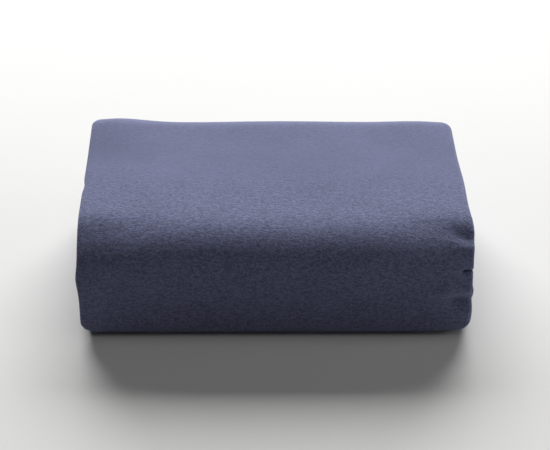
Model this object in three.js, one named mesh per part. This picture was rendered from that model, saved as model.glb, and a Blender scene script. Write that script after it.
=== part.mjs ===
// A quick dry travel towel: one 800 x 1300 mm sheet of suede microfibre, folded into four lengthwise
// and then into twelve panels crosswise, with a snap-open hanging loop and a blank care label at one
// short end. Millimetres, +X along the folded towel's width, -Y towards its folded front, +Z up.
// The origin is at the middle of the bottom of the whole object's box.
import * as THREE from 'three';

// Cloth, before and after folding.
const CLOTH_WIDTH = 800;
const CLOTH_LENGTH = 1300;
const LENGTHWISE_LAYERS = 4;
const STACK_HEIGHT = 58;
const GAP = 0.3;

// Panels from the bottom of the stack to the top, numbered along the sheet from the looped end.
const STACK_ORDER = [1, 8, 9, 12, 5, 4, 3, 6, 11, 10, 7, 2];
const PANELS = STACK_ORDER.length;

const STRIP_WIDTH = CLOTH_WIDTH / LENGTHWISE_LAYERS;
const PANEL_THICKNESS = (STACK_HEIGHT - (PANELS - 1) * GAP) / PANELS;
const PITCH = PANEL_THICKNESS + GAP;
const BACK_CORNER_RADIUS = 8;

// Hems along the two short ends of the sheet.
const HEM_DEPTH = 6;
const HEM_THICKNESS = 4;

// Hanging loop: a flat tape, doubled back on itself and closed by a press stud.
const TAPE_WIDTH = 10;
const TAPE_THICKNESS = 1;
const LOOP_X = 66;
const LOOP_LENGTH = 36;
const LOOP_FREE_LENGTH = 27;
const STUD_FROM_HEM = 15;
const STUD_RIM_RADIUS = 4.5;
const STUD_RIM_THICKNESS = 0.8;
const STUD_RIM_BEVEL = 0.3;
const STUD_KNOB_RADIUS = 2.2;
const SOCKET_RADIUS = 4.2;
const SOCKET_HOLE_RADIUS = STUD_KNOB_RADIUS + GAP;
const SOCKET_HEIGHT = 1.6;
const SOCKET_FLOOR = 0.5;
const STEM_RADIUS = 1.2;
const STEM_HOLE_RADIUS = STEM_RADIUS + GAP;
const TACK_DEPTH = 2;
const TACK_THICKNESS = 0.4;
const TACK_FROM_ROOT = 3.5;
const ROOT_GAP = 0.6;

// Care label, sewn into the same hem as the loop.
const LABEL_X = 34;
const LABEL_WIDTH = 24;
const LABEL_LENGTH = 18;
const LABEL_THICKNESS = 0.5;

const ARC_STEPS = 12;
const EDGE_STEPS = 6;
const ROUND_STEPS = 32;
const UP = Math.PI / 2;

// Where a panel's middle plane lies, for its place in the stack.
const levelZ = (place) => place * PITCH + PANEL_THICKNESS / 2;
const placeOf = (panel) => STACK_ORDER.indexOf(panel);

// A fold joins two consecutive panels: its centre is midway between them.
function foldBetween(panel) {
  const [low, high] = [placeOf(panel), placeOf(panel + 1)].sort((a, b) => a - b);
  return {
    name: `fold_${twoDigits(panel)}_${twoDigits(panel + 1)}`,
    atFront: panel % 2 === 1,
    z: (levelZ(low) + levelZ(high)) / 2,
    radius: (levelZ(high) - levelZ(low)) / 2,
  };
}

function twoDigits(number) {
  return String(number).padStart(2, '0');
}

// The folds use up part of the sheet's length, and the flat panels share what is left.
const FOLDS = Array.from({ length: PANELS - 1 }, (_, i) => foldBetween(i + 1));
const FOLDED_AWAY = FOLDS.reduce((sum, fold) => sum + Math.PI * fold.radius, 0);
const PANEL_LENGTH = (CLOTH_LENGTH - FOLDED_AWAY) / PANELS;

const TAPE_BASE_Z = STUD_RIM_THICKNESS + GAP;
const TAPE_TOP_Z = TAPE_BASE_Z + TAPE_THICKNESS;
const STUD_Z = TAPE_TOP_Z + GAP;
const SOCKET_Z = STUD_Z + STUD_RIM_THICKNESS + GAP;
const FREE_TAPE_Z = SOCKET_Z + SOCKET_HEIGHT + GAP;
const BEND_RADIUS = (FREE_TAPE_Z - TAPE_BASE_Z) / 2;
const BEND_Z = TAPE_BASE_Z + TAPE_THICKNESS / 2 + BEND_RADIUS;

const HEM_TO_LOOP_END = GAP + HEM_DEPTH + ROOT_GAP + LOOP_LENGTH + BEND_RADIUS + TAPE_THICKNESS / 2;
const DEPTH = STACK_HEIGHT / 2 + PANEL_LENGTH + HEM_TO_LOOP_END;
const FRONT_FOLD_Y = STACK_HEIGHT / 2 - DEPTH / 2;
const BACK_FOLD_Y = FRONT_FOLD_Y + PANEL_LENGTH;
const HEM_END_Y = BACK_FOLD_Y + GAP + HEM_DEPTH;
const TAPE_START_Y = HEM_END_Y + ROOT_GAP;
const TAPE_END_Y = TAPE_START_Y + LOOP_LENGTH;
const STUD_Y = HEM_END_Y + STUD_FROM_HEM;

const clothMaterial = (shade) => new THREE.MeshStandardMaterial({
  color: new THREE.Color(0x6f7590).multiplyScalar(shade), roughness: 0.95, metalness: 0,
});
const threadMaterial = new THREE.MeshStandardMaterial({ color: 0x62687f, roughness: 0.8, metalness: 0 });
const tapeMaterial = new THREE.MeshStandardMaterial({ color: 0x4a4e61, roughness: 0.85, metalness: 0 });
const studMaterial = new THREE.MeshStandardMaterial({ color: 0x8b8e98, roughness: 0.35, metalness: 0.9 });
const labelMaterial = new THREE.MeshStandardMaterial({ color: 0xdcdcd8, roughness: 0.6, metalness: 0 });

const towel = new THREE.Group();

function addPiece(name, geometry, material) {
  const piece = new THREE.Mesh(geometry, material);
  piece.name = name;
  towel.add(piece);
  return piece;
}

// A flat band's cross-section, counter-clockwise: across is along X and out is along the band's normal.
function roundEdgedSection(width, thickness) {
  const radius = thickness / 2;
  const points = [];
  for (const side of [1, -1]) {
    for (let i = 0; i <= EDGE_STEPS; i += 1) {
      const angle = side * UP * ((2 * i) / EDGE_STEPS - 1);
      points.push({
        across: side * (width / 2 - radius + radius * Math.cos(angle)),
        out: radius * Math.sin(angle),
      });
    }
  }
  return points;
}

function squareEdgedSection(width, thickness) {
  const corners = [[1, -1], [1, 1], [-1, 1], [-1, -1]];
  return corners.map(([x, z]) => ({ across: (x * width) / 2, out: (z * thickness) / 2 }));
}

// One ring of a band that turns about X: turn is the way the band's normal points, from +Y towards +Z,
// and inset narrows the ring by that much at each side.
function bandRing(section, centre, radius, turn, inset = 0) {
  return section.map(({ across, out }) => new THREE.Vector3(
    centre.x + across - Math.sign(across) * inset,
    centre.y + (radius + out) * Math.cos(turn),
    centre.z + (radius + out) * Math.sin(turn),
  ));
}

// A closed body through rings of equal count, with a flat fan over each end.
function loft(rings) {
  const count = rings[0].length;
  const last = (rings.length - 1) * count;
  const index = [];
  for (let start = 0; start < last; start += count) {
    for (let i = 0; i < count; i += 1) {
      const next = (i + 1) % count;
      index.push(start + i, start + next, start + count + next);
      index.push(start + i, start + count + next, start + count + i);
    }
  }
  for (let i = 1; i + 1 < count; i += 1) {
    index.push(0, i + 1, i);
    index.push(last, last + i, last + i + 1);
  }
  const geometry = new THREE.BufferGeometry().setFromPoints(rings.flat());
  geometry.setIndex(index);
  geometry.computeVertexNormals();
  return geometry;
}

// A flat band lying level, from its far end to its near end.
function flatBand(section, x, z, nearY, farY) {
  const ends = [farY, nearY];
  return loft(ends.map((y) => bandRing(section, new THREE.Vector3(x, y, z), 0, UP)));
}

// A band turned through a half circle, bulging towards +Y or -Y.
function halfRoundBand(section, centre, radius, bulge, insetAt = () => 0) {
  const rings = [];
  for (let i = 0; i <= ARC_STEPS; i += 1) {
    const turn = bulge > 0 ? UP * ((2 * i) / ARC_STEPS - 1) : UP * (1 + (2 * i) / ARC_STEPS);
    rings.push(bandRing(section, centre, radius, turn, insetAt(radius * Math.abs(Math.cos(turn)))));
  }
  return loft(rings);
}

// Back folds lose their corners in plan: how far the edge steps in at a given reach behind the panels.
function cornerInset(radius) {
  const corner = Math.min(BACK_CORNER_RADIUS, radius);
  return (reach) => {
    const along = Math.max(0, reach - (radius - corner));
    return corner - Math.sqrt(corner * corner - along * along);
  };
}

const stripSection = roundEdgedSection(STRIP_WIDTH, PANEL_THICKNESS);

function addPanels() {
  STACK_ORDER.forEach((panel, place) => {
    const band = flatBand(stripSection, 0, levelZ(place), FRONT_FOLD_Y + GAP, BACK_FOLD_Y - GAP);
    addPiece(`panel_${twoDigits(panel)}`, band, clothMaterial(place % 2 ? 1 : 0.94));
  });
}

function addFolds() {
  FOLDS.forEach(({ name, atFront, z, radius }) => {
    const centre = new THREE.Vector3(0, atFront ? FRONT_FOLD_Y : BACK_FOLD_Y, z);
    const insetAt = atFront ? undefined : cornerInset(radius);
    const band = halfRoundBand(stripSection, centre, radius, atFront ? -1 : 1, insetAt);
    addPiece(name, band, clothMaterial(0.97));
  });
}

// The two short ends of the sheet are free, and each ends in an overlocked hem.
function addEndHems() {
  const section = roundEdgedSection(STRIP_WIDTH, HEM_THICKNESS);
  const hems = { end_hem_looped: 1, end_hem_plain: PANELS };
  for (const [name, panel] of Object.entries(hems)) {
    const z = panel === 1 ? HEM_THICKNESS / 2 : levelZ(placeOf(panel));
    addPiece(name, flatBand(section, 0, z, BACK_FOLD_Y + GAP, HEM_END_Y), threadMaterial);
  }
}

// A level tape in plan, with a round hole for a rivet's stem.
function piercedTape(nearY, farY, holeY, z) {
  const outline = new THREE.Shape();
  outline.moveTo(LOOP_X - TAPE_WIDTH / 2, nearY);
  outline.lineTo(LOOP_X + TAPE_WIDTH / 2, nearY);
  outline.lineTo(LOOP_X + TAPE_WIDTH / 2, farY);
  outline.lineTo(LOOP_X - TAPE_WIDTH / 2, farY);
  outline.closePath();
  const hole = new THREE.Path();
  hole.absarc(LOOP_X, holeY, STEM_HOLE_RADIUS, 0, 2 * Math.PI, true);
  outline.holes.push(hole);
  const settings = { depth: TAPE_THICKNESS, bevelEnabled: false, curveSegments: ROUND_STEPS / 2 };
  return new THREE.ExtrudeGeometry(outline, settings).translate(0, 0, z);
}

// A turned piece standing on the stud's axis: the profile lists [radius, height] from the axis round
// the outside and back to it.
function turnedPiece(profile) {
  const points = profile.map(([radius, height]) => new THREE.Vector2(radius, height));
  return new THREE.LatheGeometry(points, ROUND_STEPS).rotateX(UP).translate(LOOP_X, STUD_Y, 0);
}

function addHangingLoop() {
  const freeStartY = TAPE_END_Y - LOOP_FREE_LENGTH;
  addPiece('loop_tape_sewn', piercedTape(TAPE_START_Y, TAPE_END_Y - GAP, STUD_Y, TAPE_BASE_Z), tapeMaterial);
  addPiece('loop_tape_free', piercedTape(freeStartY, TAPE_END_Y - GAP, STUD_Y, FREE_TAPE_Z), tapeMaterial);
  const bendCentre = new THREE.Vector3(LOOP_X, TAPE_END_Y, BEND_Z);
  const tapeSection = squareEdgedSection(TAPE_WIDTH, TAPE_THICKNESS);
  addPiece('loop_tape_bend', halfRoundBand(tapeSection, bendCentre, BEND_RADIUS, 1), tapeMaterial);

  const tack = new THREE.BoxGeometry(TAPE_WIDTH, TACK_DEPTH, TACK_THICKNESS);
  tack.translate(LOOP_X, TAPE_START_Y + TACK_FROM_ROOT, TAPE_TOP_Z + GAP + TACK_THICKNESS / 2);
  addPiece('loop_bar_tack', tack, threadMaterial);
}

// The post is riveted up through the sewn tape into the stud, and the cap down through the free tape
// into the socket, which snaps over the stud's knob.
function addPressStud() {
  addPiece('snap_post', turnedPiece([
    [0, 0],
    [STUD_RIM_RADIUS - STUD_RIM_BEVEL, 0],
    [STUD_RIM_RADIUS, STUD_RIM_BEVEL],
    [STUD_RIM_RADIUS, STUD_RIM_THICKNESS],
    [STEM_RADIUS, STUD_RIM_THICKNESS],
    [STEM_RADIUS, TAPE_TOP_Z],
    [0, TAPE_TOP_Z],
  ]), studMaterial);

  const rimTop = STUD_Z + STUD_RIM_THICKNESS;
  const socketTop = SOCKET_Z + SOCKET_HEIGHT;
  const socketRoof = socketTop - SOCKET_FLOOR;
  addPiece('snap_stud', turnedPiece([
    [0, STUD_Z],
    [STUD_RIM_RADIUS, STUD_Z],
    [STUD_RIM_RADIUS, rimTop],
    [STUD_KNOB_RADIUS * 0.8, rimTop],
    [STUD_KNOB_RADIUS, (rimTop + socketRoof) / 2],
    [STUD_KNOB_RADIUS * 0.7, socketRoof - GAP],
    [0, socketRoof - GAP],
  ]), studMaterial);

  addPiece('snap_socket', turnedPiece([
    [0, socketRoof],
    [SOCKET_HOLE_RADIUS, socketRoof],
    [SOCKET_HOLE_RADIUS, SOCKET_Z],
    [SOCKET_RADIUS, SOCKET_Z],
    [SOCKET_RADIUS, socketTop],
    [0, socketTop],
  ]), studMaterial);

  const capZ = FREE_TAPE_Z + TAPE_THICKNESS + GAP;
  const capTop = capZ + STUD_RIM_THICKNESS;
  addPiece('snap_cap', turnedPiece([
    [0, FREE_TAPE_Z],
    [STEM_RADIUS, FREE_TAPE_Z],
    [STEM_RADIUS, capZ],
    [STUD_RIM_RADIUS, capZ],
    [STUD_RIM_RADIUS, capTop - STUD_RIM_BEVEL],
    [STUD_RIM_RADIUS - STUD_RIM_BEVEL, capTop],
    [0, capTop],
  ]), studMaterial);
}

function addCareLabel() {
  const section = squareEdgedSection(LABEL_WIDTH, LABEL_THICKNESS);
  const z = HEM_THICKNESS / 2;
  const label = flatBand(section, LABEL_X, z, TAPE_START_Y, TAPE_START_Y + LABEL_LENGTH);
  addPiece('care_label', label, labelMaterial);

  const stitch = new THREE.BoxGeometry(LABEL_WIDTH - 2, TACK_DEPTH / 2, TACK_THICKNESS);
  const stitchZ = z + (LABEL_THICKNESS + TACK_THICKNESS) / 2 + GAP;
  stitch.translate(LABEL_X, TAPE_START_Y + TACK_FROM_ROOT, stitchZ);
  addPiece('label_stitch', stitch, threadMaterial);
}

addPanels();
addFolds();
addEndHems();
addHangingLoop();
addPressStud();
addCareLabel();

export default towel;
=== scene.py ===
"""A quick dry travel towel, folded into a block: one sheet of suede microfibre, overlocked round its
edges, with a hanging loop, a press stud and a blank care label at one corner. Metres, in the CAD frame."""
import math

import bpy
import numpy as np
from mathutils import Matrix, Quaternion, Vector


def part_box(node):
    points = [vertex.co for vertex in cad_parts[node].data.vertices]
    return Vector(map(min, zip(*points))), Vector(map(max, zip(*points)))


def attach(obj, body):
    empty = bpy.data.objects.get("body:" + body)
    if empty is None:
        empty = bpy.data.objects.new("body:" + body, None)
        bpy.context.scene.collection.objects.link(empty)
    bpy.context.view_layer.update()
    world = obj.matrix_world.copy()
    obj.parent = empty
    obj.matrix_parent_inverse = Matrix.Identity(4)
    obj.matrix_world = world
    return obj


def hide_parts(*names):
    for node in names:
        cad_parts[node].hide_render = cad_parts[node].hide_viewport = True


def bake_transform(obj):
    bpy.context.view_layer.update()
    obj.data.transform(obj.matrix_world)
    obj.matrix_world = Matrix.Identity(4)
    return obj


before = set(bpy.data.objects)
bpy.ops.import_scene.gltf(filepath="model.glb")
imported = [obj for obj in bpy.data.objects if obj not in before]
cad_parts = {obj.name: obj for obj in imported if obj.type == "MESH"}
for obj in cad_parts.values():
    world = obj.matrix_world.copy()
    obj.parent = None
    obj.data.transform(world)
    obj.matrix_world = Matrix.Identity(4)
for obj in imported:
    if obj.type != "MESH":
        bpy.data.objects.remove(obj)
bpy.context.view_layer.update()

MM = 0.001
SEED = 11

# The sheet, laid flat.
CLOTH_THICKNESS = 0.98 * MM
HEM_CLOTH_THICKNESS = 0.50 * MM
HEM_WIDTH = 4.0 * MM
LAYERS = 4

# Where the CAD has the folded block.
PANELS = 12
front_low, front_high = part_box("fold_01_02")
back_low, back_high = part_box("fold_02_03")
WIDTH = front_high.x - front_low.x
HEIGHT = front_high.z
HALF_WIDTH = WIDTH / 2
MID_Z = HEIGHT / 2
FRONT_FOLD_Y = front_high.y
BACK_FOLD_Y = back_low.y
NOSE_RADIUS = FRONT_FOLD_Y - front_low.y
HEM_END_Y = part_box("end_hem_looped")[1].y
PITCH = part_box("panel_08")[0].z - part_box("panel_01")[0].z
LAYER_PITCH = PITCH / LAYERS

# The sheet's short ends stop short of the CAD's hems, leaving room for the thread that wraps them.
END_ALLOWANCE = 0.65 * MM

# How far each back fold sits in from the outermost one, so that nested folds don't line up like a book's.
BACK_SETBACK = {2: 0.0, 4: 2.2 * MM, 6: 1.4 * MM, 8: 0.6 * MM, 10: 2.6 * MM}


def smoothstep(low, high, value):
    t = np.clip((value - low) / (high - low), 0, 1)
    return t * t * (3 - 2 * t)


def bump(value, centre, spread):
    return np.exp(-(((value - centre) / spread) ** 2))


class Ripple:
    """A smooth random curve: a few sines of fixed, seeded phase."""

    def __init__(self, rng, longest, shortest, amplitude, waves=6):
        self.rate = 2 * math.pi / np.geomspace(longest, shortest, waves)
        self.phase = rng.uniform(0, 2 * math.pi, waves)
        self.size = amplitude * rng.uniform(0.5, 1.0, waves) / math.sqrt(waves)

    def __call__(self, value):
        total = np.zeros_like(value)
        for rate, phase, size in zip(self.rate, self.phase, self.size):
            total = total + size * np.sin(rate * value + phase)
        return total


rng = np.random.default_rng(SEED)
strip_shift = Ripple(rng, 0.60, 0.09, 1.3 * MM)
strip_swell = Ripple(rng, 0.45, 0.08, 1.0 * MM)
hem_wander_a = Ripple(rng, 0.30, 0.03, 0.9 * MM)
hem_wander_d = Ripple(rng, 0.30, 0.03, 1.1 * MM)


# The crosswise folds: stretches of the strip's middle line, each with its start along the sheet.
def panel_z(panel):
    low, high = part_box(f"panel_{panel:02d}")
    return (low.z + high.z) / 2


# Each stretch's place function turns distances along it into y, z, the cloth's normal in y and z, and how
# far over to the upper half they are.
def flat_stretch(start_y, end_y, z, weight):
    way = 1.0 if end_y > start_y else -1.0

    def place(s):
        zero = np.zeros_like(s)
        return start_y + way * s, zero + z, zero, zero + way, zero + weight

    return abs(end_y - start_y), place


def fold_stretch(y, from_z, to_z, bulge, from_weight, to_weight):
    z, radius = (from_z + to_z) / 2, abs(to_z - from_z) / 2
    climb = 1.0 if to_z > from_z else -1.0

    def place(s):
        turn = s / radius
        weight = from_weight + (to_weight - from_weight) * turn / math.pi
        return (
            y + bulge * radius * np.sin(turn),
            z - climb * radius * np.cos(turn),
            -climb * np.sin(turn),
            bulge * np.cos(turn),
            weight,
        )

    return math.pi * radius, place


def crosswise_stretches():
    made, start = [], 0.0
    for panel in range(1, PANELS + 1):
        z = panel_z(panel)
        weight = 1.0 if z > MID_Z else 0.0
        towards_front = panel % 2 == 1
        far_y = BACK_FOLD_Y - BACK_SETBACK.get(panel if not towards_front else panel - 1, 0.0)
        if panel in (1, PANELS):
            far_y = HEM_END_Y - END_ALLOWANCE
        ends = (far_y, FRONT_FOLD_Y) if towards_front else (FRONT_FOLD_Y, far_y)
        pieces = [("panel", panel, *flat_stretch(*ends, z, weight))]
        if panel < PANELS:
            next_z = panel_z(panel + 1)
            next_weight = 1.0 if next_z > MID_Z else 0.0
            bulge = -1.0 if towards_front else 1.0
            fold = fold_stretch(ends[1], z, next_z, bulge, weight, next_weight)
            pieces.append(("fold", panel, *fold))
        for kind, number, length, place in pieces:
            made.append({"kind": kind, "panel": number, "start": start, "length": length, "place": place})
            start += length
    return made, start


# The lengthwise folds: the four layers a, b, c and d of a strip, seen end on. Layer b is the outermost.
HEM_INSET_A = 1.6 * MM
HEM_INSET_D = 3.4 * MM
HALF_CLOTH = CLOTH_THICKNESS / 2


# Each lane's place function turns distances across it into x, the level, and the cloth's normal in both.
def flat_lane(start_x, end_x, level):
    way = 1.0 if end_x > start_x else -1.0

    def place(s):
        zero = np.zeros_like(s)
        return start_x + way * s, zero + level, zero, zero + way

    return abs(end_x - start_x), place


def turned_lane(x, level, radius, from_angle, to_angle):
    way = 1.0 if to_angle > from_angle else -1.0

    def place(s):
        angle = from_angle + way * s / radius
        return (
            x + radius * np.cos(angle),
            level + radius * np.sin(angle),
            -way * np.cos(angle),
            -way * np.sin(angle),
        )

    return abs(to_angle - from_angle) * radius, place


def lengthwise_lanes():
    up = math.pi / 2
    outer, inner = 1.5 * LAYER_PITCH, 0.5 * LAYER_PITCH
    right = HALF_WIDTH - outer - HALF_CLOTH
    left = -(HALF_WIDTH - inner - HALF_CLOTH)
    drawn = [
        ("a", flat_lane(-HALF_WIDTH + HEM_INSET_A, right, -outer)),
        ("ab", turned_lane(right, 0.0, outer, -up, up)),
        ("b", flat_lane(right, left, outer)),
        ("bc", turned_lane(left, LAYER_PITCH, inner, up, 3 * up)),
        ("c", flat_lane(left, right, inner)),
        ("cd", turned_lane(right, 0.0, inner, up, -up)),
        ("d", flat_lane(right, -HALF_WIDTH + HEM_INSET_D, -inner)),
    ]
    made, start = [], 0.0
    for name, (length, place) in drawn:
        made.append({"name": name, "start": start, "length": length, "place": place})
        start += length
    return made, start


STRETCHES, SHEET_LENGTH = crosswise_stretches()
LANES, SHEET_WIDTH = lengthwise_lanes()


def follow(parts, distance, outputs):
    """Each distance's place on the part that it falls on. The first and last parts run on past the ends."""
    results = [np.zeros_like(distance) for _ in range(outputs)]
    starts = np.array([part["start"] for part in parts])
    index = np.clip(np.searchsorted(starts, distance, side="right") - 1, 0, len(parts) - 1)
    for number, part in enumerate(parts):
        chosen = index == number
        if chosen.any():
            for result, values in zip(results, part["place"](distance[chosen] - part["start"])):
                result[chosen] = values
    return results


# How square the front folds' profile is, above and below the middle: 2 is round, and more is squarer.
TOP_SQUARENESS = 2.55
TOP_SOFTER_AT_ENDS = 0.75
LOW_SQUARENESS = 8.0
LOW_SOFTER_AT_ENDS = 3.0
LOW_SOFTER_AT_RIGHT = 2.0


def nose_shape(x, y, z):
    """The front folds settle out of round: full at the bottom, and softer at the top and at the ends."""
    ahead = FRONT_FOLD_Y - y
    up = z - MID_Z
    radius = np.hypot(ahead, up)
    angle = np.arctan2(up, np.maximum(ahead, 1e-9))
    end = np.abs(x) / HALF_WIDTH
    top_power = TOP_SQUARENESS - TOP_SOFTER_AT_ENDS * smoothstep(0.6, 1.0, end)
    low_power = LOW_SQUARENESS - LOW_SOFTER_AT_ENDS * smoothstep(0.96, 1.0, end)
    low_power = low_power - LOW_SOFTER_AT_RIGHT * smoothstep(0.74, 1.0, x / HALF_WIDTH)
    power = np.where(up > 0, top_power, low_power)
    across, rise = np.abs(np.cos(angle)), np.abs(np.sin(angle))
    factor = (across ** power + rise ** power) ** (-1 / power)
    in_nose = ahead > 0
    depth = np.clip(radius / NOSE_RADIUS, 0, 1)
    push = (front_swell(x, angle) - front_dimple(x, angle) - slit(x, angle)) * depth ** 2
    stretch = np.where(in_nose, factor + push / np.maximum(radius, 1 * MM), 1.0)
    return FRONT_FOLD_Y - ahead * stretch, MID_Z + up * stretch


SLIT_ANGLE = math.radians(29)
SLIT_SPREAD = math.radians(1.9)
SLIT_LENGTH = 7.5 * MM
SLIT_DEPTH = 4.0 * MM
HOLLOW_SLANT = 9.0


def slit(x, angle):
    """A short pinch in the cloth at the right end, where the fold's edge has caught."""
    reach = smoothstep(HALF_WIDTH - SLIT_LENGTH, HALF_WIDTH - 0.5 * SLIT_LENGTH, x)
    return SLIT_DEPTH * reach * bump(angle, SLIT_ANGLE, SLIT_SPREAD)


def round_fold(angle, middle, spread):
    """A share that peaks at an angle round the front fold, in degrees up from the middle."""
    return bump(angle, math.radians(middle), math.radians(spread))


def front_dimple(x, angle):
    """Soft hollows beside the fold's right end."""
    inset = HALF_WIDTH - x
    slanted = angle + (5 * MM - inset) * HOLLOW_SLANT
    upper = bump(inset, 5 * MM, 8 * MM) * round_fold(slanted, middle=67, spread=6)
    lower = bump(inset, 8 * MM, 6 * MM) * round_fold(angle, middle=-8, spread=9)
    taper = smoothstep(20 * MM, 0, inset) ** 2 * round_fold(angle, middle=15, spread=30)
    return (1.7 * upper + 2.8 * lower + 1.8 * taper) * MM


def front_swell(x, angle):
    """Slack in the outer cloth between those hollows."""
    inset = HALF_WIDTH - x
    upper = bump(inset, 1 * MM, 7 * MM) * round_fold(angle, middle=55, spread=6)
    lower = bump(inset, 6 * MM, 11 * MM) * round_fold(angle, middle=9, spread=8)
    return (0.8 * upper + 2.4 * lower) * MM


def near_sides(x):
    """How near a point is to the block's right side, and to its left side."""
    return smoothstep(0.6 * HALF_WIDTH, HALF_WIDTH, x), smoothstep(0.6 * HALF_WIDTH, HALF_WIDTH, -x)


def side_fullness(x, y, z):
    """How far x moves as the strips' ends stand out or sit in at the block's two sides, zone by zone."""
    right, left = near_sides(x)
    top_front = bump(y, FRONT_FOLD_Y - 8 * MM, 13 * MM) * smoothstep(0.72 * HEIGHT, 0.95 * HEIGHT, z)
    low = 1 - smoothstep(0.12 * HEIGHT, 0.55 * HEIGHT, z)
    nip = bump(y, FRONT_FOLD_Y + 26 * MM, 3.5 * MM) * smoothstep(0.80 * HEIGHT, HEIGHT, z)
    under = smoothstep(11 * MM, 0, z) ** 2 * smoothstep(FRONT_FOLD_Y - 10 * MM, FRONT_FOLD_Y - 27 * MM, y)
    top_back = smoothstep(-25 * MM, 10 * MM, y) * smoothstep(0.5 * HEIGHT, HEIGHT, z)
    out_right = 1.5 * top_front + 2.6 * low - 5.0 * under - 1.5 * top_back
    out_left = 0.5 * low - 0.7 * nip - 4.5 * under
    return (right * out_right - left * out_left) * MM


BACK_NOSE = back_high.y - BACK_FOLD_Y
BACK_CORNER_INSET = 10 * MM

# How far the top of the stack moves up or down as it settles. The layers below it move less.
END_DROOP = 0.4 * MM
SHOULDER_DROP = 1.7 * MM
BACK_LEFT_LIFT = 2.7 * MM
BACK_RIGHT_LIFT = 0.5 * MM
CROWN_RISE = 0.7 * MM
RIDGE_RISE = 0.4 * MM
LONG_ROLL = 0.35 * MM
SHORT_ROLL = 0.2 * MM


def settle(x, y, z):
    """Where gravity and handling leave every layer: one smooth field, so that layers never cross."""
    y, z = nose_shape(x, y, z)
    height = np.clip(z / HEIGHT, 0, 1.2)
    end = np.abs(x) / HALF_WIDTH
    droop = END_DROOP * smoothstep(0.85, 1.0, end)
    before = smoothstep(FRONT_FOLD_Y + 4 * MM, FRONT_FOLD_Y - 12 * MM, y)
    shoulder = SHOULDER_DROP * smoothstep(0.45, 0.85, end) * before * height ** 2
    back_lift = BACK_LEFT_LIFT * bump(x, -0.90 * HALF_WIDTH, 22 * MM)
    back_lift = back_lift + BACK_RIGHT_LIFT * bump(x, 0.8 * HALF_WIDTH, 18 * MM)
    back_lift = back_lift * smoothstep(BACK_FOLD_Y - 35 * MM, BACK_FOLD_Y + 5 * MM, y)
    crown = CROWN_RISE * (1 - end ** 2) * smoothstep(FRONT_FOLD_Y - 22 * MM, FRONT_FOLD_Y + 2 * MM, y)
    crown = crown * (1 - 0.9 * smoothstep(FRONT_FOLD_Y, BACK_FOLD_Y + 5 * MM, y))
    ridge = RIDGE_RISE * (1 - end ** 2) * bump(y, FRONT_FOLD_Y - 5 * MM, 15 * MM)
    roll = LONG_ROLL * np.sin(31 * x + 1.1) * np.sin(47 * y + 0.4) + SHORT_ROLL * np.sin(67 * x + 40 * y)
    z = z + height * (crown + (ridge + roll) * height + back_lift - droop) - shoulder
    x = x + side_fullness(x, y, z)
    behind = np.clip((y - BACK_FOLD_Y) / BACK_NOSE, 0, 1.2)
    inset = BACK_CORNER_INSET * (1 - np.cos(behind * math.pi / 2))
    x = x * (1 - inset / HALF_WIDTH * smoothstep(0.3, 1.0, end))
    return x, y, z


def share_of_fold(v, panel):
    """How far round a fold a point lies: 0 where the fold starts, 1 where it ends."""
    part = next(part for part in STRETCHES if part["kind"] == "fold" and part["panel"] == panel)
    return (v - part["start"]) / part["length"]


def fold_ends(x, v):
    """How far x moves where single front folds stand out or sit in at the block's sides."""
    right, left = near_sides(x)
    outermost, second, fourth = share_of_fold(v, 1), share_of_fold(v, 7), share_of_fold(v, 11)
    on_second = smoothstep(-0.3, 0.1, second) * (1 - smoothstep(0.9, 1.3, second))
    out_right = 0.5 * bump(outermost, 0.72, 0.12) - 0.7 * bump(outermost, 0.28, 0.08)
    out_right = out_right + (2.3 * bump(second, 0.53, 0.09) - 1.9) * on_second
    out_right = out_right - 1.0 * bump(fourth, 0.5, 0.6)
    out_left = 0.9 * bump(outermost, 0.62, 0.07) - 0.6 * bump(outermost, 0.5, 0.5)
    return (right * out_right - left * out_left) * MM


# Within this width of its side edges, the sheet's own wandering fades in.
WANDER_WIDTH = 40 * MM

# Up to the first of these distances along the sheet the strip lies straighter, and from the second, loose.
STRAIGHT_SHARE = 0.35
STRAIGHT_TO, LOOSE_FROM = 0.20, 0.34


def cloth_point(u, v, h):
    """Where a point of the sheet lies once folded: u across the sheet, v along it, h above its middle.
    Returns the points and how far each has gone over from the lower half to the upper."""
    x, level, normal_x, normal_level = follow(LANES, u, 4)
    y, z, normal_y, normal_z, weight = follow(STRETCHES, v, 5)
    x = x + h * normal_x
    level = level + h * normal_level
    slack = STRAIGHT_SHARE + (1 - STRAIGHT_SHARE) * smoothstep(STRAIGHT_TO, LOOSE_FROM, v)
    x = x + slack * (strip_shift(v) + x / HALF_WIDTH * strip_swell(v))
    x = x + fold_ends(x, v)
    in_a, in_d = smoothstep(WANDER_WIDTH, 0, u), smoothstep(SHEET_WIDTH - WANDER_WIDTH, SHEET_WIDTH, u)
    x = x + in_a * hem_wander_a(v) + in_d * hem_wander_d(v)
    x, y, z = settle(x, y + level * normal_y, z + level * normal_z)
    return np.stack([x, y, z], axis=-1), weight


def cloth_half_thickness(u, v):
    """The overlock stitch pinches the cloth along its four edges."""
    from_edge = np.minimum(np.minimum(u, SHEET_WIDTH - u), np.minimum(v, SHEET_LENGTH - v))
    share = smoothstep(0.4 * HEM_WIDTH, 1.5 * HEM_WIDTH, from_edge)
    return (HEM_CLOTH_THICKNESS + share * (CLOTH_THICKNESS - HEM_CLOTH_THICKNESS)) / 2


# Mesh helpers.
def new_object(name, vertices, faces):
    mesh = bpy.data.meshes.new(name)
    mesh.from_pydata([tuple(p) for p in vertices], [], [tuple(f) for f in faces])
    mesh.validate()
    mesh.update()
    mesh.polygons.foreach_set("use_smooth", [True] * len(mesh.polygons))
    obj = bpy.data.objects.new(name, mesh)
    bpy.context.scene.collection.objects.link(obj)
    return obj


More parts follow.
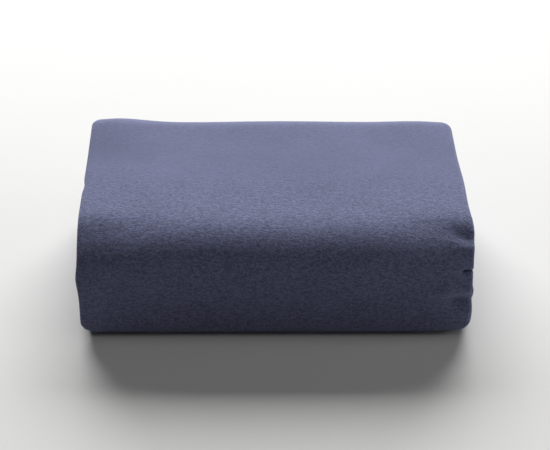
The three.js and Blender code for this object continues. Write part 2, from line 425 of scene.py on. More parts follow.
def store_vectors(obj, name, vectors):
    """Keeps a place on the cloth with each vertex, for the grain of its material."""
    attribute = obj.data.attributes.new(name, "FLOAT_VECTOR", "POINT")
    attribute.data.foreach_set("vector", np.asarray(vectors, np.float32).ravel())


def store_values(obj, name, values):
    attribute = obj.data.attributes.new(name, "FLOAT", "POINT")
    attribute.data.foreach_set("value", np.asarray(values, np.float32))


def bend_between(obj):
    """Bakes obj's placement into its mesh data."""
    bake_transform(obj)


def spread(start, length, spacing):
    """Evenly spaced distances from start, leaving the end for the next part."""
    steps = max(2, int(round(length / spacing)))
    return [start + length * i / steps for i in range(steps)]


# The towel's cloth: how closely its vertices lie.
FINE_SPACING = 2.6 * MM
COARSE_SPACING = 9.0 * MM
NOSE_SPACING = 2.1 * MM
TURN_SPACING = 0.55 * MM
STEPS_FROM_EDGE = [step * MM for step in (1.2, 2.8, 4.5, 6.5)]
STEPS_FROM_RIGHT_END = [step * MM for step in (0.4, 0.9, 1.5, 2.2, 3.0, 3.9, 4.9, 6.0, 7.4)]
STEPS_ACROSS_SLIT = [step * MM for step in (-1.1, -0.7, -0.4, -0.2, 0, 0.2, 0.4, 0.7, 1.1)]
RIGHT_END_LENGTH = 9 * MM

# How far the sheet's cut edges round out past their corners.
EDGE_ROUNDING = 0.25 * MM


def cloth_columns():
    """Distances across the sheet: fine on the outermost layer, and finer at its right end."""
    columns = []
    for lane in LANES:
        start, length = lane["start"], lane["length"]
        if lane["name"] == "b":
            columns += [start] + [start + step for step in STEPS_FROM_RIGHT_END]
            columns += spread(start + RIGHT_END_LENGTH, length - RIGHT_END_LENGTH, FINE_SPACING)
        else:
            is_turn = len(lane["name"]) == 2
            columns += spread(start, length, TURN_SPACING if is_turn else COARSE_SPACING)
    columns += STEPS_FROM_EDGE + [SHEET_WIDTH - step for step in STEPS_FROM_EDGE]
    return np.array(sorted(set(columns + [SHEET_WIDTH])))


def cloth_rows():
    """Distances along the sheet: fine where it is outermost, and finest across the slit."""
    rows = []
    for stretch in STRETCHES:
        kind, panel, start, length = (stretch[key] for key in ("kind", "panel", "start", "length"))
        outermost = (kind, panel) in (("fold", 1), ("panel", 2), ("fold", 2))
        if kind == "panel":
            spacing = FINE_SPACING if outermost else COARSE_SPACING
        else:
            spacing = NOSE_SPACING if outermost else min(3 * MM, length / 8)
        rows += spread(start, length, spacing)
        if (kind, panel) == ("fold", 1):
            middle = start + length * (0.5 + SLIT_ANGLE / math.pi)
            rows += [middle + step for step in STEPS_ACROSS_SLIT]
    rows += STEPS_FROM_EDGE + [SHEET_LENGTH - step for step in STEPS_FROM_EDGE]
    return np.array(sorted(set(rows + [SHEET_LENGTH])))


def build_cloth():
    """One closed mesh: each row is a ring round the sheet, over its top and back along its underside."""
    columns, rows = cloth_columns(), cloth_rows()
    edge = EDGE_ROUNDING
    count = len(columns)
    ring_u = np.concatenate([columns, [SHEET_WIDTH + edge], columns[::-1], [-edge]])
    side = np.concatenate([np.ones(count), [0], -np.ones(count), [0]])
    ring = len(ring_u)

    u = np.tile(ring_u, (len(rows), 1))
    v = np.tile(rows[:, None], (1, ring))
    inside_u = np.clip(u, 0, SHEET_WIDTH)
    h = side[None, :] * cloth_half_thickness(inside_u, v)
    end_u = np.concatenate([columns, [SHEET_WIDTH + edge]])
    first = (end_u, np.full(len(end_u), -edge))
    last = (end_u, np.full(len(end_u), SHEET_LENGTH + edge))
    flat_u = np.concatenate([u.ravel(), first[0], [-edge], last[0], [-edge]])
    flat_v = np.concatenate([v.ravel(), first[1], [-edge], last[1], [SHEET_LENGTH + edge]])
    flat_h = np.concatenate([h.ravel(), np.zeros(2 * (count + 2))])
    points, weights = cloth_point(flat_u, flat_v, flat_h)

    def at(row, i):
        return row * ring + i % ring

    faces = []
    for row in range(len(rows) - 1):
        for i in range(ring):
            faces.append((at(row, i), at(row, i + 1), at(row + 1, i + 1), at(row + 1, i)))
    base_first = len(rows) * ring
    base_last = base_first + count + 2

    def cap_index(base, i):
        """The end row's vertex that a ring vertex closes on."""
        if i <= count:
            return base + i
        if i <= 2 * count:
            return base + 2 * count - i
        return base + count + 1

    for i in range(ring):
        j = (i + 1) % ring
        near = (cap_index(base_first, i), cap_index(base_first, j))
        faces.append(tuple(dict.fromkeys((near[0], near[1], at(0, j), at(0, i)))))
        far = (cap_index(base_last, i), cap_index(base_last, j))
        faces.append(tuple(dict.fromkeys((at(len(rows) - 1, i), at(len(rows) - 1, j), far[1], far[0]))))
    cloth = new_object("towel_cloth", points, faces)
    store_vectors(cloth, "cloth_place", np.stack([flat_u, flat_v, flat_h], axis=-1))
    # Stored with each vertex: how deep the grain's bumps run and how strong the painted shade in its
    # hollows is.
    store_values(cloth, "grain_relief_and_shade", grain_relief_and_shade(flat_v))
    return cloth, weights


# How deep the grain's bumps run, and how strong the painted shade in its hollows is, on the panels and on
# the folds.
RELIEF_AND_SHADE_ON_PANELS = 0.10
RELIEF_AND_SHADE_ON_OUTERMOST_FOLD = 1.0
RELIEF_AND_SHADE_ON_OTHER_FOLDS = 0.35


def grain_relief_and_shade(v):
    """How deep the grain's bumps run and how strongly painted shade darkens its hollows: fully round the
    outermost fold, and little on the flat panels.
    """
    share = np.full_like(v, RELIEF_AND_SHADE_ON_PANELS)
    for part in STRETCHES:
        if part["kind"] == "fold":
            most = RELIEF_AND_SHADE_ON_OUTERMOST_FOLD if part["panel"] == 1 else RELIEF_AND_SHADE_ON_OTHER_FOLDS
            outside = np.maximum(part["start"] - v, v - part["start"] - part["length"])
            share = np.maximum(share, most * (1 - 0.90 * smoothstep(-10 * MM, 60 * MM, outside)))
    return share


# Sewing thread, as closed tubes.
THREAD_RADIUS = 0.14 * MM
THREAD_SIDES = 5
STITCH_PITCH = 2.6 * MM


def tubes(paths, radius):
    """Closed tubes along many paths of equal count: paths is (tubes, points, 3)."""
    sides = THREAD_SIDES
    tangents = np.gradient(paths, axis=1)
    tangents /= np.linalg.norm(tangents, axis=2, keepdims=True)
    reference = np.where(np.abs(tangents[..., 2:3]) > 0.8, [[[0.6, 0.8, 0.0]]], [[[0.0, 0.0, 1.0]]])
    first = np.cross(tangents, reference)
    first /= np.linalg.norm(first, axis=2, keepdims=True)
    second = np.cross(tangents, first)
    turns = np.arange(sides) * 2 * math.pi / sides
    rings = (
        paths[:, :, None, :]
        + radius * np.cos(turns)[None, None, :, None] * first[:, :, None, :]
        + radius * np.sin(turns)[None, None, :, None] * second[:, :, None, :]
    )
    count, steps = paths.shape[:2]
    faces = []
    for tube in range(count):
        base = tube * steps * sides
        for step in range(steps - 1):
            for i in range(sides):
                a, b = base + step * sides + i, base + step * sides + (i + 1) % sides
                faces.append((a, b, b + sides, a + sides))
        faces.append(tuple(base + i for i in reversed(range(sides))))
        faces.append(tuple(base + (steps - 1) * sides + i for i in range(sides)))
    return rings.reshape(-1, 3), faces


def overlock_paths(length):
    """Overlock stitches along an edge, as points (along the edge, in from the edge, above the cloth)."""
    over = HEM_CLOTH_THICKNESS / 2 + 0.8 * THREAD_RADIUS
    wrap = [
        (0.00, HEM_WIDTH, 0.6 * over), (0.10, 0.90 * HEM_WIDTH, over), (0.32, 0.50 * HEM_WIDTH, over),
        (0.50, 0.30 * MM, over), (0.52, -0.40 * MM, 0.0), (0.54, 0.30 * MM, -over),
        (0.75, 0.50 * HEM_WIDTH, -over), (1.00, 0.85 * HEM_WIDTH, -0.8 * over),
    ]
    chain = [
        (0.02, HEM_WIDTH, 0.5 * over), (0.15, 1.02 * HEM_WIDTH, 1.2 * over),
        (0.50, 0.97 * HEM_WIDTH, 1.3 * over), (0.85, 1.02 * HEM_WIDTH, 1.2 * over),
        (0.98, HEM_WIDTH, 0.5 * over),
    ]
    count = int(length / STITCH_PITCH)
    pitch = length / count
    starts = np.arange(count) * pitch
    scale = np.array([pitch, 1.0, 1.0])
    made = []
    for template in (wrap, chain):
        points = np.array(template) * scale
        made.append(np.repeat(points[None], count, axis=0) + starts[:, None, None] * [1.0, 0.0, 0.0])
    return made


def overlock(name, length, to_sheet):
    """One hem's thread: to_sheet turns (along, in, above) into the sheet's own (u, v, h)."""
    vertices, faces = [], []
    for paths in overlock_paths(length):
        points, tube_faces = tubes(paths, THREAD_RADIUS)
        offset = sum(len(part) for part in vertices)
        vertices.append(points)
        faces += [tuple(index + offset for index in face) for face in tube_faces]
    along, inward, above = np.concatenate(vertices).T
    points, weights = cloth_point(*to_sheet(along, inward, above))
    return new_object(name, points, faces), weights


def build_hems():
    """The thread along each of the sheet's four edges, with its share of the way over at each vertex."""
    made = {
        "overlock_side_a": (SHEET_LENGTH, lambda along, inward, above: (inward, along, above)),
        "overlock_side_d": (
            SHEET_LENGTH, lambda along, inward, above: (SHEET_WIDTH - inward, along, above),
        ),
        "overlock_looped_end": (SHEET_WIDTH, lambda along, inward, above: (along, inward, above)),
        "overlock_plain_end": (
            SHEET_WIDTH, lambda along, inward, above: (along, SHEET_LENGTH - inward, above),
        ),
    }
    return {name: overlock(name, *how) for name, how in made.items()}


# The hanging loop's tape and the care label.
TAPE_CORNER = 0.35 * MM
TAPE_SEWN_STEPS, TAPE_BEND_STEPS, TAPE_FREE_STEPS = 25, 16, 20
LABEL_CORNER = 0.2 * MM
LABEL_STEPS = 24
LABEL_LIFT = 1.4 * MM
LABEL_CORNER_LIFT = 0.7 * MM
ROOT_SHARE = 0.9
ROOT_STEPS = 6
ROUNDED_END_TURNS = np.radians([84, 66, 44, 22])
BAND_STEPS_ACROSS = 10
CORNER_SHARE = 0.3


def hinge_line_y(low):
    """Where a tape or label bends: midway from the sheet's end to the start of its CAD node."""
    return (HEM_END_Y + low.y) / 2


def rounded_start(axis_y, radius):
    """Where a band's end is rounded about its hinge: how far along, and the share of the full thickness."""
    return list(axis_y - radius * np.sin(ROUNDED_END_TURNS)), list(np.cos(ROUNDED_END_TURNS))


def band(name, points, normals, width, thickness, centre_x, corner, shares=None):
    """A flat band of rounded section along a line in the YZ plane, closed at both ends. Shares, if given,
    thin it point by point. Returns it and how many vertices go round its section."""
    half_w, half_t = width / 2, thickness / 2
    shares = np.ones(len(points)) if shares is None else shares
    corner_x, corner_h = half_w - CORNER_SHARE * corner, half_t - CORNER_SHARE * corner
    section = []
    for side in (1, -1):
        for i in range(BAND_STEPS_ACROSS + 1):
            x = side * (2 * i / BAND_STEPS_ACROSS - 1) * (half_w - corner)
            section.append((x, side * half_t))
        section.append((side * corner_x, side * corner_h))
        section.append((side * half_w, 0.0))
        section.append((side * corner_x, -side * corner_h))
    section = np.array(section)
    ring = len(section)
    vertices, places = [], []
    lengths = np.concatenate([[0], np.cumsum(np.linalg.norm(np.diff(points, axis=0), axis=1))])
    for point, normal, s, share in zip(points, normals, lengths, shares):
        for x, h in section * [1.0, share]:
            vertices.append((centre_x + x, point[0] + normal[0] * h, point[1] + normal[1] * h))
            places.append((x, s, h))
    faces = []
    for step in range(len(points) - 1):
        for i in range(ring):
            a, b = step * ring + i, step * ring + (i + 1) % ring
            faces.append((a, b, b + ring, a + ring))
    last = (len(points) - 1) * ring
    faces.append(tuple(reversed(range(ring))))
    faces.append(tuple(last + i for i in range(ring)))
    obj = new_object(name, vertices, faces)
    store_vectors(obj, "cloth_place", places)
    return obj, ring


def build_loop():
    """The tape, its share of the way over at each vertex, and the two ends of its bend."""
    sewn_low, sewn_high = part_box("loop_tape_sewn")
    free_low, free_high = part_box("loop_tape_free")
    thickness = sewn_high.z - sewn_low.z
    low_z, top_z = (sewn_low.z + sewn_high.z) / 2, (free_low.z + free_high.z) / 2
    radius = (top_z - low_z) / 2
    bend_y, bend_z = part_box("loop_tape_bend")[0].y, (top_z + low_z) / 2
    hinge_y = hinge_line_y(sewn_low)
    start_ys, shares = rounded_start(hinge_y, thickness / 2)
    ys = start_ys + [hinge_y + (bend_y - hinge_y) * i / TAPE_SEWN_STEPS for i in range(TAPE_SEWN_STEPS)]
    points, normals, weights = [(y, low_z) for y in ys], [(0.0, -1.0)] * len(ys), [0.0] * len(ys)
    for i in range(TAPE_BEND_STEPS + 1):
        turn = math.pi * i / TAPE_BEND_STEPS
        points.append((bend_y + radius * math.sin(turn), bend_z - radius * math.cos(turn)))
        normals.append((math.sin(turn), -math.cos(turn)))
        weights.append(i / TAPE_BEND_STEPS)
    for i in range(1, TAPE_FREE_STEPS + 1):
        points.append((bend_y + (free_low.y - bend_y) * i / TAPE_FREE_STEPS, top_z))
        normals.append((0.0, 1.0))
        weights.append(1.0)
    centre_x = (sewn_low.x + sewn_high.x) / 2
    width = sewn_high.x - sewn_low.x
    shares += [1.0] * (len(points) - len(shares))
    tape, ring = band(
        "loop_tape", np.array(points), np.array(normals), width, thickness, centre_x, TAPE_CORNER, shares
    )
    bend_ends = Vector((centre_x, bend_y, low_z)), Vector((centre_x, bend_y, top_z))
    return tape, np.repeat(weights, ring), *bend_ends


def build_root(name, node, corner):
    """The end of a tape or label that is sewn into the hem, and so stays with it."""
    low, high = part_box(node)
    ys = np.linspace(HEM_END_Y - HEM_WIDTH / 2, hinge_line_y(low), ROOT_STEPS)
    points = np.stack([ys, np.full(ROOT_STEPS, (low.z + high.z) / 2)], axis=1)
    normals = [(0.0, -1.0)] * ROOT_STEPS
    width, thickness = ROOT_SHARE * (high.x - low.x), ROOT_SHARE * (high.z - low.z)
    root, _ = band(name, points, normals, width, thickness, (low.x + high.x) / 2, ROOT_SHARE * corner)
    return root


TACK_STITCHES = 30
TACK_RADIUS = 1.2 * THREAD_RADIUS
TACK_MARGIN = 0.6 * MM
TACK_DIP = 0.15 * MM


def build_bar_tack():
    """Close zigzag stitching that holds the tape to the hem."""
    low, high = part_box("loop_bar_tack")
    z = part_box("loop_tape_sewn")[1].z + 0.4 * THREAD_RADIUS
    middle = (low.y + high.y) / 2
    lean = (high.x - low.x) / TACK_STITCHES
    paths = []
    for i in range(TACK_STITCHES):
        x = low.x + TACK_MARGIN + (high.x - low.x - 2 * TACK_MARGIN) * i / TACK_STITCHES
        paths.append([
            (x, low.y, z - TACK_RADIUS), (x, low.y + TACK_DIP, z + THREAD_RADIUS),
            (x + lean / 2, middle, z + 1.4 * THREAD_RADIUS),
            (x + lean, high.y - TACK_DIP, z + THREAD_RADIUS), (x + lean, high.y, z - TACK_RADIUS),
        ])
    return new_object("bar_tack_thread", *tubes(np.array(paths), TACK_RADIUS))


def build_label():
    """A blank satin ribbon that curls up a little at its free corners."""
    low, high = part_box("care_label")
    hinge_y, thickness = hinge_line_y(low), high.z - low.z
    start_ys, shares = rounded_start(hinge_y, thickness / 2)
    ys = np.concatenate([start_ys, np.linspace(hinge_y, high.y, LABEL_STEPS)])
    shares = shares + [1.0] * LABEL_STEPS
    lift = LABEL_LIFT * smoothstep(low.y + 4 * MM, high.y, ys) ** 1.5
    points = np.stack([ys, (low.z + high.z) / 2 + lift], axis=1)
    slopes = np.gradient(points, axis=0)
    slopes /= np.linalg.norm(slopes, axis=1, keepdims=True)
    normals = np.stack([slopes[:, 1], -slopes[:, 0]], axis=1)
    centre_x = (low.x + high.x) / 2
    label, _ = band(
        "care_label_ribbon", points, normals, high.x - low.x, thickness, centre_x, LABEL_CORNER, shares
    )
    for vertex in label.data.vertices:
        out = (vertex.co.y - low.y) / (high.y - low.y)
        side = (vertex.co.x - centre_x) / (high.x - centre_x)
        vertex.co.z += LABEL_CORNER_LIFT * max(out, 0.0) ** 2 * side ** 2
    return label


STITCH_LENGTH = 2.2 * MM
STITCH_GAP = 0.6 * MM
STITCH_DIP = 0.2 * MM


def build_label_stitches():
    """A row of running stitches across the label."""
    low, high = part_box("label_stitch")
    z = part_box("care_label")[1].z + 0.3 * THREAD_RADIUS
    y = (low.y + high.y) / 2
    count = int((high.x - low.x) / (STITCH_LENGTH + STITCH_GAP))
    paths = []
    for i in range(count):
        x = low.x + (high.x - low.x) * i / count + STITCH_GAP / 2
        end_x = x + STITCH_LENGTH
        paths.append([
            (x, y, z - THREAD_RADIUS), (x + STITCH_DIP, y, z + THREAD_RADIUS),
            (x + STITCH_LENGTH / 2, y, z + 1.3 * THREAD_RADIUS),
            (end_x - STITCH_DIP, y, z + THREAD_RADIUS), (end_x, y, z - THREAD_RADIUS),
        ])
    return new_object("label_thread", *tubes(np.array(paths), THREAD_RADIUS))


# The press stud: turned pieces. A profile is a run of (share of the radius, share of the height).
TURNED_STEPS = 56
STUD_PIECES = (
    ("snap_post", "hanging_loop", (
        (0, 0.06), (0.45, 0.06), (0.52, 0), (0.90, 0), (1, 0.10), (1, 0.30), (0.92, 0.38), (0.36, 0.38),
        (0.36, 1), (0, 1),
    )),
    ("snap_stud", "hanging_loop", (
        (0, 0), (0.94, 0), (1, 0.10), (1, 0.32), (0.93, 0.42), (0.62, 0.42), (0.56, 0.50), (0.42, 0.52),
        (0.42, 0.60), (0.49, 0.78), (0.42, 0.94), (0.30, 1), (0, 1),
    )),
    ("snap_socket", "loop_flap", (
        (0, 0.70), (0.585, 0.70), (0.585, 0.10), (0.64, 0), (0.94, 0), (1, 0.10), (1, 0.90), (0.94, 1),
        (0, 1),
    )),
    ("snap_cap", "loop_flap", (
        (0, 0), (0.36, 0), (0.36, 0.62), (0.94, 0.62), (1, 0.68), (1, 0.80), (0.93, 0.93), (0.78, 0.985),
        (0.62, 1), (0.56, 0.955), (0.50, 0.94), (0, 0.95),
    )),
)


EASED_SHARE = 0.3
EASED_STEPS = 3


def eased(corners):
    """A profile with each corner turned into a short curve."""
    corners = np.array(corners, float)
    made = [corners[0]]
    for before, corner, after in zip(corners, corners[1:], corners[2:]):
        start, end = corner + (before - corner) * EASED_SHARE, corner + (after - corner) * EASED_SHARE
        for i in range(EASED_STEPS + 1):
            t = i / EASED_STEPS
            made.append((1 - t) ** 2 * start + 2 * t * (1 - t) * corner + t * t * end)
    made.append(corners[-1])
    return made


def turned(name, node, profile):
    """A profile turned about the middle of a CAD node's box, and as wide and high as it."""
    low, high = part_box(node)
    centre_x, centre_y, radius = (low.x + high.x) / 2, (low.y + high.y) / 2, (high.x - low.x) / 2
    vertices = []
    for reach, rise in eased(profile)[1:-1]:
        for i in range(TURNED_STEPS):
            turn = 2 * math.pi * i / TURNED_STEPS
            x, y = centre_x + reach * radius * math.cos(turn), centre_y + reach * radius * math.sin(turn)
            vertices.append((x, y, low.z + rise * (high.z - low.z)))
    faces = []
    rings = len(vertices) // TURNED_STEPS
    for ring in range(rings - 1):
        for i in range(TURNED_STEPS):
            a, b = ring * TURNED_STEPS + i, ring * TURNED_STEPS + (i + 1) % TURNED_STEPS
            faces.append((a, b, b + TURNED_STEPS, a + TURNED_STEPS))
    for rise, ring in ((profile[0][1], 0), (profile[-1][1], rings - 1)):
        middle = len(vertices)
        vertices.append((centre_x, centre_y, low.z + rise * (high.z - low.z)))
        for i in range(TURNED_STEPS):
            a, b = ring * TURNED_STEPS + i, ring * TURNED_STEPS + (i + 1) % TURNED_STEPS
            faces.append((middle, b, a) if ring == 0 else (middle, a, b))
    return new_object(name, vertices, faces)


# Materials.
class Nodes:
    """A short way to write a node tree."""

    def __init__(self, name):
        self.material = bpy.data.materials.new(name)
        self.material.use_nodes = True
        self.tree = self.material.node_tree
        self.shader = self.tree.nodes["Principled BSDF"]

    def add(self, kind, inputs=None, **settings):
        node = self.tree.nodes.new(kind)
        for key, value in settings.items():
            setattr(node, key, value)
        for key, value in (inputs or {}).items():
            self.feed(node, key, value)
        return node

    def feed(self, node, key, value):
        if isinstance(value, bpy.types.NodeSocket):
            self.tree.links.new(value, node.inputs[key])
        else:
            node.inputs[key].default_value = value

    def place(self):
        """The place on the flat cloth: across it, along it, and above its middle, in metres."""
        return self.add("ShaderNodeAttribute", attribute_name="cloth_place").outputs["Vector"]

    def value(self, name):
        return self.add("ShaderNodeAttribute", attribute_name=name).outputs["Fac"]

    def stretched(self, vector, scale):
        return self.add("ShaderNodeMapping", {"Vector": vector, "Scale": scale}).outputs["Vector"]

    def noise(self, vector, detail=2.0, roughness=0.5, distortion=0.0):
        node = self.add("ShaderNodeTexNoise", {
            "Vector": vector, "Scale": 1.0,
            "Detail": detail, "Roughness": roughness, "Distortion": distortion,
        })
        return node.outputs["Fac"]

    def maths(self, operation, first, second=0.0):
        return self.add("ShaderNodeMath", {0: first, 1: second}, operation=operation).outputs[0]

    def mix(self, factor, first, second):
        """Mixes two colours, by number because the node's other sockets have the same names."""
        node = self.add("ShaderNodeMix", {"Factor": factor, 6: first, 7: second}, data_type="RGBA")
        return node.outputs[2]

    def ranged(self, value, from_low, from_high, to_low, to_high):
        node = self.add("ShaderNodeMapRange", {
            "Value": value,
            "From Min": from_low, "From Max": from_high, "To Min": to_low, "To Max": to_high,
        })
        return node.outputs[0]

    def bump(self, height, strength, distance):
        node = self.add("ShaderNodeBump", {"Height": height, "Strength": strength, "Distance": distance})
        return node.outputs["Normal"]

    def finish(self, **values):
        for key, value in values.items():
            self.feed(self.shader, key.replace("_", " "), value)
        return self.material


def cloth_material():
    """Suede microfibre: a short, matt pile in fine pebbles, twice as wide across the cloth as along it,
    with painted shade in the pebbles' hollows and painted light on their tops, strongest round the
    outermost fold.
    """
    n = Nodes("suede_microfibre")
    place, relief_and_shade = n.place(), n.value("grain_relief_and_shade")
    grain = n.noise(n.stretched(place, (800, 1700, 300)), detail=3.0, roughness=0.68, distortion=0.6)
    crease = n.noise(n.stretched(place, (450, 950, 300)), detail=1.0, roughness=0.5, distortion=0.8)
    fibre = n.noise(n.stretched(place, (2300, 3100, 900)), detail=2.0, roughness=0.6)
    patches = n.noise(n.stretched(place, (38, 52, 10)), detail=3.0, roughness=0.55)
    coarse = n.maths("ADD", n.maths("MULTIPLY", grain, 0.45), n.maths("MULTIPLY", crease, 0.28))
    height = n.maths("ADD", coarse, n.maths("MULTIPLY", fibre, 0.27))
    # Painted shade and light: the colour darkens in the grain's hollows and lightens on its tops, most
    # round the outermost fold. The mottle is the cloth's own random tone.
    painted_grain_shade = n.maths("MULTIPLY", n.maths("SUBTRACT", height, 0.5), n.maths("MULTIPLY", relief_and_shade, 6.5))
    mottle = n.maths("MULTIPLY", n.maths("SUBTRACT", patches, 0.5), 0.35)
    tone = n.maths("ADD", n.maths("ADD", painted_grain_shade, mottle), 0.5)
    dark, light = (0.070, 0.076, 0.130, 1), (0.162, 0.174, 0.300, 1)
    colour = n.mix(n.ranged(tone, 0.0, 1.0, 0.0, 1.0), dark, light)
    depth = n.bump(n.maths("MULTIPLY", height, n.ranged(relief_and_shade, 0, 1, 0.22, 1)), 1.0, 0.75 * MM)
    return n.finish(
        Base_Color=colour,
        Roughness=0.95,
        Normal=depth,
        Specular_IOR_Level=0.15,
        Sheen_Weight=0.35,
        Sheen_Roughness=0.5,
        Sheen_Tint=(0.70, 0.76, 1.0, 1),
    )


def thread_material():
    """Matt sewing thread, mottled as finely as its twist."""
    n = Nodes("sewing_thread")
    where = n.add("ShaderNodeTexCoord").outputs["Object"]
    twist = n.noise(n.stretched(where, (5200, 5200, 5200)), detail=1.0)
    colour = n.mix(twist, (0.085, 0.093, 0.150, 1), (0.135, 0.146, 0.225, 1))
    return n.finish(
        Base_Color=colour, Roughness=0.62, Normal=n.bump(twist, 0.7, 0.08 * MM), Sheen_Weight=0.15,
    )


def woven_material(name, dark, light, pitch_across, pitch_along, roughness, depth):
    """A plain weave: threads over and under each other, from two crossed waves."""
    n = Nodes(name)
    place = n.place()
    split = n.add("ShaderNodeSeparateXYZ", {0: place})
    across = n.maths("SINE", n.maths("MULTIPLY", split.outputs[0], 2 * math.pi / pitch_across))
    along = n.maths("SINE", n.maths("MULTIPLY", split.outputs[1], 2 * math.pi / pitch_along))
    weave = n.maths("MULTIPLY", across, along)
    fluff = n.noise(n.stretched(place, (1800, 1800, 1800)), detail=2.0)
    height = n.maths("ADD", n.ranged(weave, -1, 1, 0, 1), n.maths("MULTIPLY", fluff, 0.3))
    colour = n.mix(n.ranged(height, 0.1, 1.2, 0.0, 1.0), dark, light)
    return n.finish(
        Base_Color=colour, Roughness=roughness, Normal=n.bump(height, 0.8, depth), Sheen_Weight=0.1,
    )


def metal_material():
    """Satin nickel, lightly rubbed."""
    n = Nodes("satin_nickel")
    where = n.add("ShaderNodeTexCoord").outputs["Object"]
    rub = n.noise(n.stretched(where, (900, 900, 300)), detail=3.0, roughness=0.6)
    colour = n.mix(rub, (0.42, 0.43, 0.46, 1), (0.60, 0.61, 0.64, 1))
    return n.finish(
        Base_Color=colour, Metallic=1.0, Roughness=n.ranged(rub, 0.3, 0.7, 0.24, 0.42),
        Normal=n.bump(rub, 0.2, 0.03 * MM),
    )


def floor_material():
    n = Nodes("pale_floor")
    where = n.add("ShaderNodeTexCoord").outputs["Object"]
    tone = n.noise(n.stretched(where, (3, 3, 3)), detail=2.0)
    return n.finish(Base_Color=n.mix(tone, (0.61, 0.608, 0.60, 1), (0.64, 0.638, 0.63, 1)), Roughness=0.7)


def wear(obj, material):
    obj.data.materials.clear()
    obj.data.materials.append(material)


# The towel.
CLOTH_NODES = [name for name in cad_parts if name.startswith(("panel_", "fold_"))]

suede = cloth_material()
thread = thread_material()
cloth, cloth_weights = build_cloth()
bend_between(cloth)
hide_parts(*CLOTH_NODES)
wear(cloth, suede)

hems = build_hems()
for name, (hem, weights) in hems.items():
    wear(hem, thread)
    if name.startswith("overlock_side"):
        bend_between(hem)
    else:
        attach(hem, "lower_half")
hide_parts("end_hem_looped")
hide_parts("end_hem_plain")

# The loop, its stud and the label.
tape, tape_weights, bend_start, bend_end = build_loop()
bend_between(tape)
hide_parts("loop_tape_sewn", "loop_tape_bend", "loop_tape_free")
tape_weave = woven_material(
    "woven_tape", (0.030, 0.033, 0.050, 1), (0.085, 0.092, 0.135, 1), 0.9 * MM, 0.7 * MM, 0.75, 0.16 * MM
)
wear(tape, tape_weave)

tape_root = build_root("loop_tape_root", "loop_tape_sewn", TAPE_CORNER)
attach(tape_root, "lower_half")
wear(tape_root, tape_weave)

tack = build_bar_tack()
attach(tack, "hanging_loop")
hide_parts("loop_bar_tack")
wear(tack, thread)

label = build_label()
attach(label, "label_flap")
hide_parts("care_label")
satin = woven_material(
    "label_satin", (0.34, 0.34, 0.33, 1), (0.48, 0.48, 0.46, 1), 0.35 * MM, 0.5 * MM, 0.45, 0.03 * MM
)
wear(label, satin)

label_root = build_root("care_label_root", "care_label", LABEL_CORNER)
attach(label_root, "lower_half")
wear(label_root, satin)

label_thread = build_label_stitches()
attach(label_thread, "label_flap")
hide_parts("label_stitch")
wear(label_thread, thread)

nickel = metal_material()
for name, body, profile in STUD_PIECES:
    stud = turned(name.replace("snap", "press_stud"), name, profile)
    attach(stud, body)
    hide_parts(name)
    wear(stud, nickel)

# Floor, light and camera.
FLOOR_SIZE = 3.6
FLOOR_Z = -0.05 * MM
half_floor = FLOOR_SIZE / 2
floor_corners = [
    (x * half_floor, y * half_floor, FLOOR_Z) for x, y in ((-1, -1), (1, -1), (1, 1), (-1, 1))
]
floor = new_object("floor", floor_corners, [(0, 1, 2, 3)])
floor.data.materials.append(floor_material())


def softbox(name, towards, tilt, turn, distance, size, watts):
    """A soft white light aimed at a point: tilt is from straight overhead, and turn is round Z from
    straight behind, both in degrees."""
    tilt, turn = math.radians(tilt), math.radians(turn)
    data = bpy.data.lights.new(name, "AREA")
    data.shape = "RECTANGLE"
    data.size, data.size_y = size
    data.energy = watts
    light = bpy.data.objects.new(name, data)
    bpy.context.scene.collection.objects.link(light)
    way = Vector((math.sin(tilt) * math.sin(turn), math.sin(tilt) * math.cos(turn), math.cos(tilt)))
    light.location = Vector(towards) + way * distance
    light.rotation_mode = "QUATERNION"
    light.rotation_quaternion = way.to_track_quat("Z", "Y")


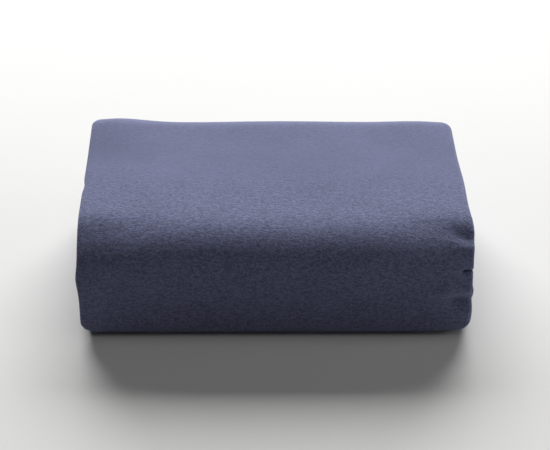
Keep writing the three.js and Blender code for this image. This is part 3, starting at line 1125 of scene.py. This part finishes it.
top_middle = (0, (FRONT_FOLD_Y + BACK_FOLD_Y) / 2, HEIGHT)
softbox("key_softbox", top_middle, tilt=58, turn=0, distance=3.0, size=(3.6, 1.9), watts=228)
softbox("overhead_fill", top_middle, tilt=9, turn=180, distance=3.2, size=(2.6, 2.0), watts=14)
softbox("side_fill", top_middle, tilt=72, turn=97, distance=2.2, size=(1.2, 1.2), watts=8)

# The room gives little light, but the backdrop beyond the floor is as pale as the floor.
ROOM_LIGHT, BACKDROP = 0.025, 0.95
world = bpy.data.worlds.new("studio")
world.use_nodes = True
seen = world.node_tree.nodes.new("ShaderNodeLightPath").outputs["Is Camera Ray"]
strength = world.node_tree.nodes.new("ShaderNodeMapRange")
strength.inputs["To Min"].default_value = ROOM_LIGHT
strength.inputs["To Max"].default_value = BACKDROP
background = world.node_tree.nodes["Background"]
background.inputs["Color"].default_value = (1.0, 1.0, 1.0, 1)
world.node_tree.links.new(seen, strength.inputs["Value"])
world.node_tree.links.new(strength.outputs[0], background.inputs["Strength"])
bpy.context.scene.world = world
bpy.context.scene.view_settings.view_transform = "Standard"

CAMERA_LENS = 85.0
CAMERA_SENSOR = 36.0
CAMERA_ELEVATION = math.radians(39.5)
CAMERA_YAW = math.radians(-0.8)
CAMERA_ROLL = math.radians(0.45)
CAMERA_DISTANCE = 0.655
AIM_X, AIM_BEHIND_FRONT, AIM_BELOW_TOP = 0.2 * MM, 23.8 * MM, 1.6 * MM
aim = Vector((AIM_X, front_low.y + AIM_BEHIND_FRONT, HEIGHT - AIM_BELOW_TOP))
camera_data = bpy.data.cameras.new("camera")
camera_data.lens = CAMERA_LENS
camera_data.sensor_width = CAMERA_SENSOR
camera = bpy.data.objects.new("camera", camera_data)
bpy.context.scene.collection.objects.link(camera)
back = Vector((
    math.sin(CAMERA_YAW) * math.cos(CAMERA_ELEVATION),
    -math.cos(CAMERA_YAW) * math.cos(CAMERA_ELEVATION),
    math.sin(CAMERA_ELEVATION),
))
camera.location = aim + back * CAMERA_DISTANCE
camera.rotation_mode = "QUATERNION"
camera.rotation_quaternion = Quaternion(back, CAMERA_ROLL) @ back.to_track_quat("Z", "Y")
bpy.context.scene.camera = camera
